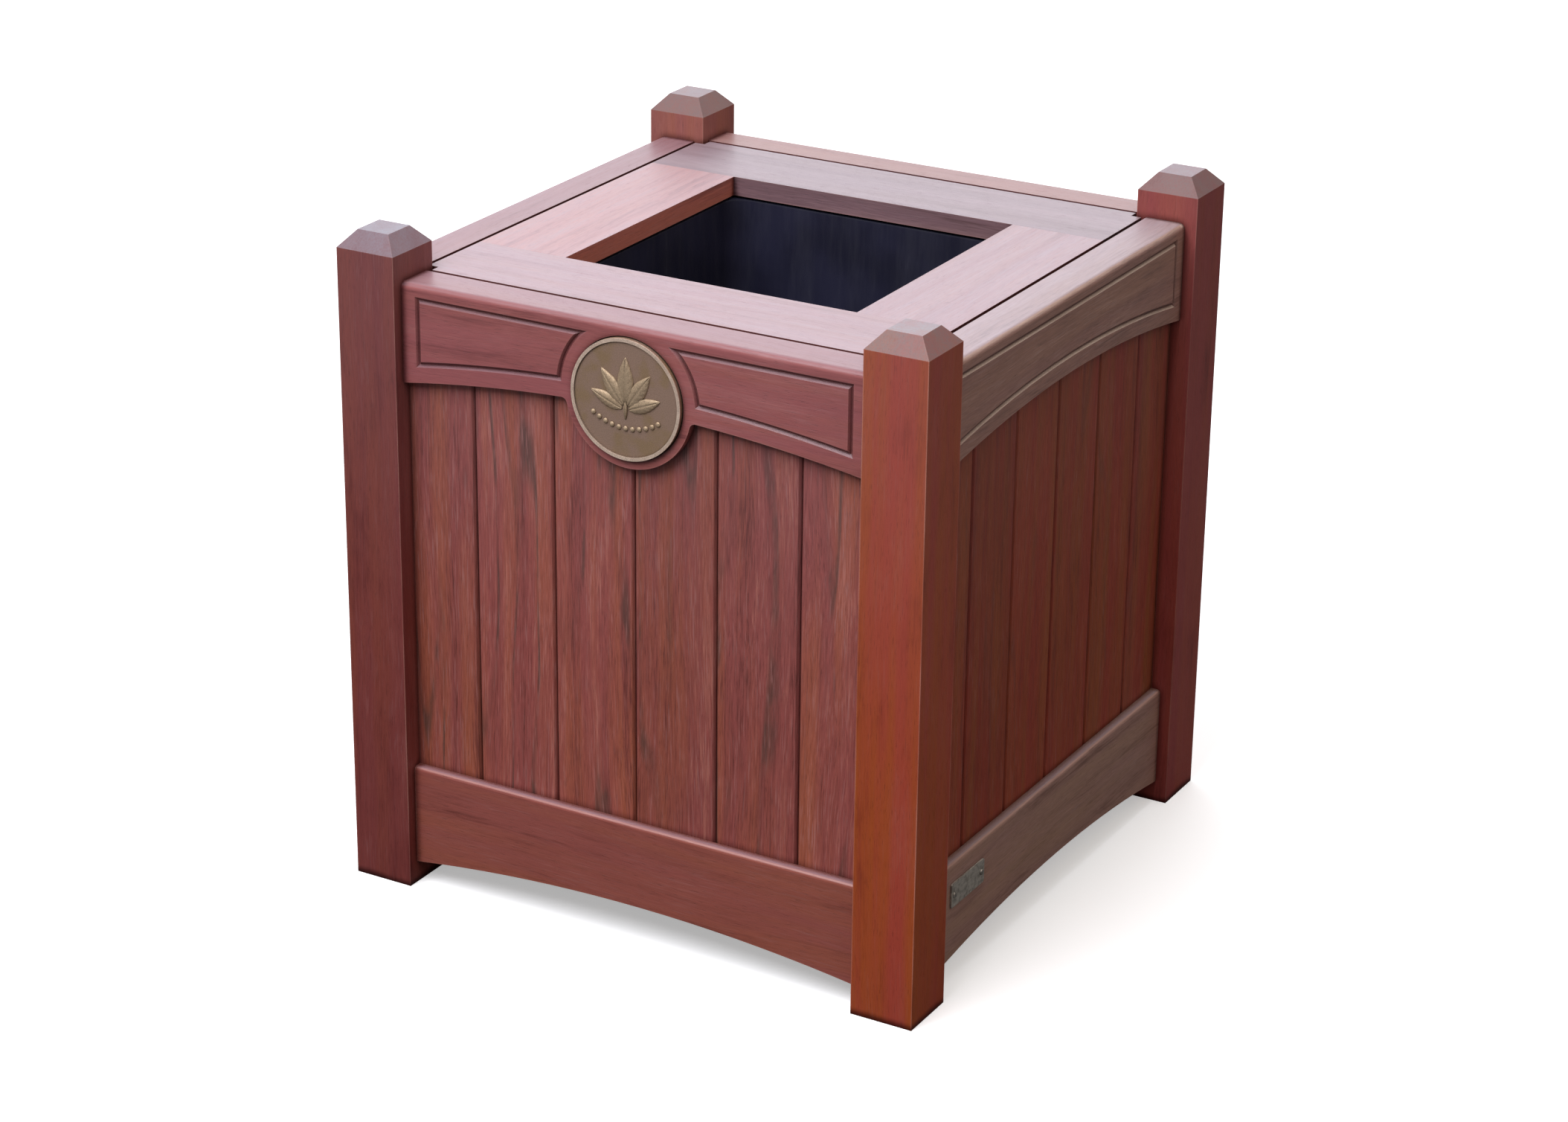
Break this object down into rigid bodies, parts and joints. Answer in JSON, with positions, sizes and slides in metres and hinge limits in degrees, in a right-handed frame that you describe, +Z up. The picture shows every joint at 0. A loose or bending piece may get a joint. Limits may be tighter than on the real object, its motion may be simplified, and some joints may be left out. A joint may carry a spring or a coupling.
{
  "type": "planter box",
  "caption": "Square hardwood planter box with bevelled corner posts, arched aprons and rails, vertical boards, a round medallion, a lift-off top frame and a plastic liner.",
  "frame": {"origin": "on the ground, at the middle of the square box", "axes": "+Z up; the front with the medallion faces -Y; the side with the plate faces +X"},
  "size_m": [0.61, 0.61, 0.652],
  "materials": {
    "post_wood": "oiled red-brown hardwood, satin",
    "rail_wood": "oiled red-brown hardwood, satin",
    "board_wood": "oiled red-brown hardwood with dark streaks, satin",
    "lid_wood": "oiled red-brown hardwood, satin",
    "inner_wood": "unfinished hardwood, matt",
    "dowel_wood": "plain beech, matt",
    "liner_plastic": "moulded polyethylene, slightly glossy",
    "bronze": "cast bronze, patinated, rim rubbed bright",
    "plate_metal": "dull brushed metal",
    "screw_steel": "stainless steel"
  },
  "bodies": {
    "box": {"apron_front": "rail_wood", "apron_left": "rail_wood", "apron_rear": "rail_wood", "apron_right": "rail_wood", "board_front_1": "board_wood", "board_front_2": "board_wood", "board_front_3": "board_wood", "board_front_4": "board_wood", "board_front_5": "board_wood", "board_front_6": "board_wood", "board_left_1": "board_wood", "board_left_2": "board_wood", "board_left_3": "board_wood", "board_left_4": "board_wood", "board_left_5": "board_wood", "board_left_6": "board_wood", "board_rear_1": "board_wood", "board_rear_2": "board_wood", "board_rear_3": "board_wood", "board_rear_4": "board_wood", "board_rear_5": "board_wood", "board_rear_6": "board_wood", "board_right_1": "board_wood", "board_right_2": "board_wood", "board_right_3": "board_wood", "board_right_4": "board_wood", "board_right_5": "board_wood", "board_right_6": "board_wood", "floor_cleat_left": "inner_wood", "floor_cleat_right": "inner_wood", "floor_screws": "screw_steel", "floor_slat_1": "inner_wood", "floor_slat_2": "inner_wood", "floor_slat_3": "inner_wood", "floor_slat_4": "inner_wood", "frame_dowels": "dowel_wood", "ledger_front": "inner_wood", "ledger_left": "inner_wood", "ledger_rear": "inner_wood", "ledger_right": "inner_wood", "ledger_screws": "screw_steel", "medallion": "bronze", "medallion_studs": "screw_steel", "nameplate": "plate_metal", "nameplate_screws": "screw_steel", "post_front_left": "post_wood", "post_front_right": "post_wood", "post_rear_left": "post_wood", "post_rear_right": "post_wood", "rail_front": "rail_wood", "rail_left": "rail_wood", "rail_rear": "rail_wood", "rail_right": "rail_wood"},
    "liner": {"liner": "liner_plastic"},
    "lid": {"lid_board_front": "lid_wood", "lid_board_left": "lid_wood", "lid_board_rear": "lid_wood", "lid_board_right": "lid_wood", "lid_dowels": "dowel_wood"}
  },
  "joints": [
    {"name": "liner_lift", "type": "slide", "parent": "box", "child": "liner", "axis": [0, 0, 1], "range_m": [0, 0.6]},
    {"name": "lid_lift", "type": "slide", "parent": "liner", "child": "lid", "axis": [0, 0, 1], "range_m": [0, 0.15]}
  ]
}
